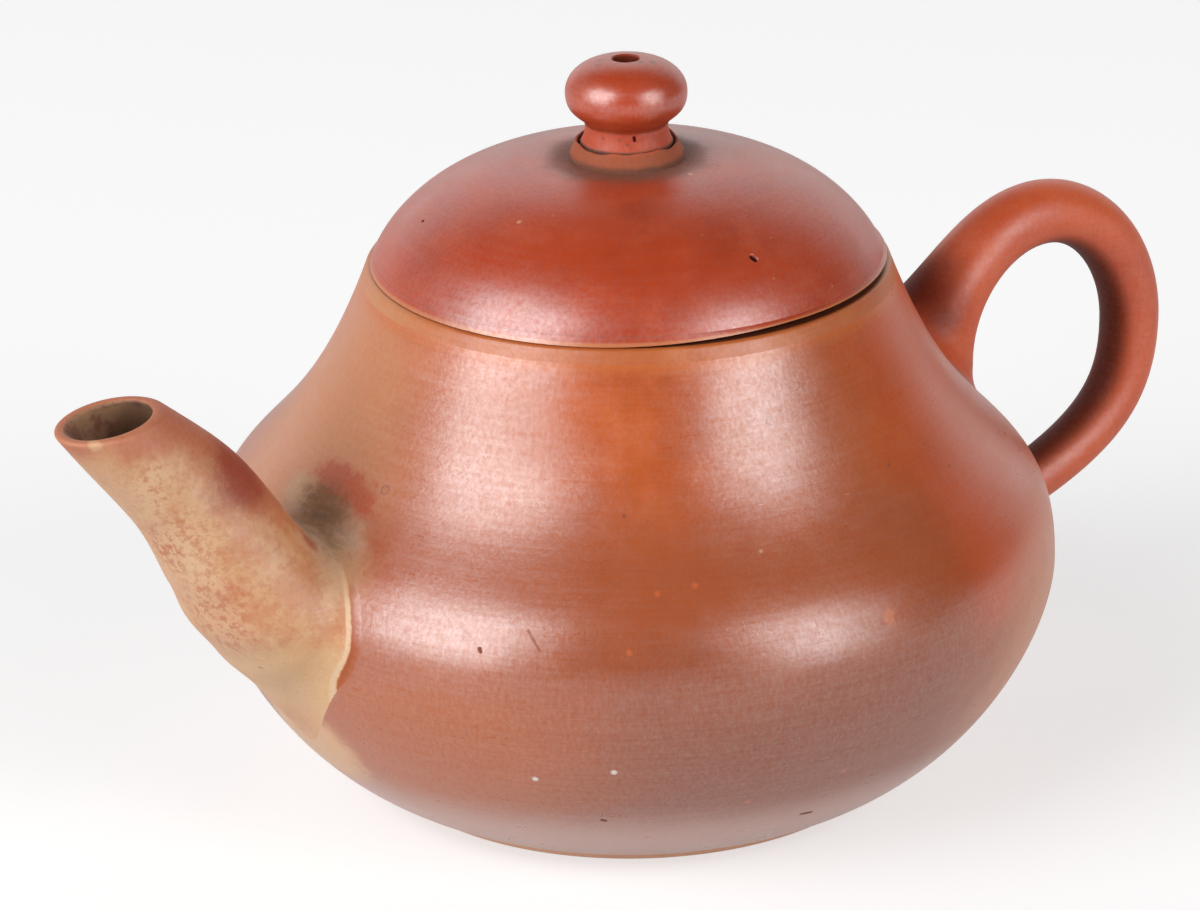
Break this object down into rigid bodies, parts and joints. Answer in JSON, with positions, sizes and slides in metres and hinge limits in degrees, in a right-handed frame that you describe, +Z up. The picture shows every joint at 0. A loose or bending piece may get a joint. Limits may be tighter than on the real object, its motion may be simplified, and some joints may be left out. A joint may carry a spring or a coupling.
{
  "type": "clay teapot",
  "caption": "Small unglazed red clay teapot with a pear-shaped body, rising spout, ear-shaped handle and a loose domed lid with a bun knob.",
  "frame": {"origin": "on the body's axis, in the plane of the foot ring's underside (the table)", "axes": "+Z up along the body's axis, the way the lid lifts; the spout points to -X and the handle to +X"},
  "size_m": [0.1188, 0.076, 0.0658],
  "materials": {
    "body_clay": "unglazed fired clay, satin from use",
    "edge_clay": "unglazed fired clay, worn edge",
    "spout_clay": "unglazed fired clay with tea stains",
    "handle_clay": "unglazed fired clay, satin",
    "lid_clay": "unglazed fired clay, satin"
  },
  "bodies": {
    "pot": {"foot_ring": "edge_clay", "base_disc": "body_clay", "body_wall": "body_clay", "mouth_ring": "edge_clay", "spout": "spout_clay", "handle": "handle_clay"},
    "lid": {"lid_flange": "lid_clay", "lid_plate": "edge_clay", "lid_dome": "lid_clay", "knob_collar": "lid_clay", "knob": "lid_clay"}
  },
  "joints": [
    {"name": "lid_lift", "type": "slide", "parent": "pot", "child": "lid", "axis": [0, 0, 1], "range_m": [0, 0.05]}
  ]
}
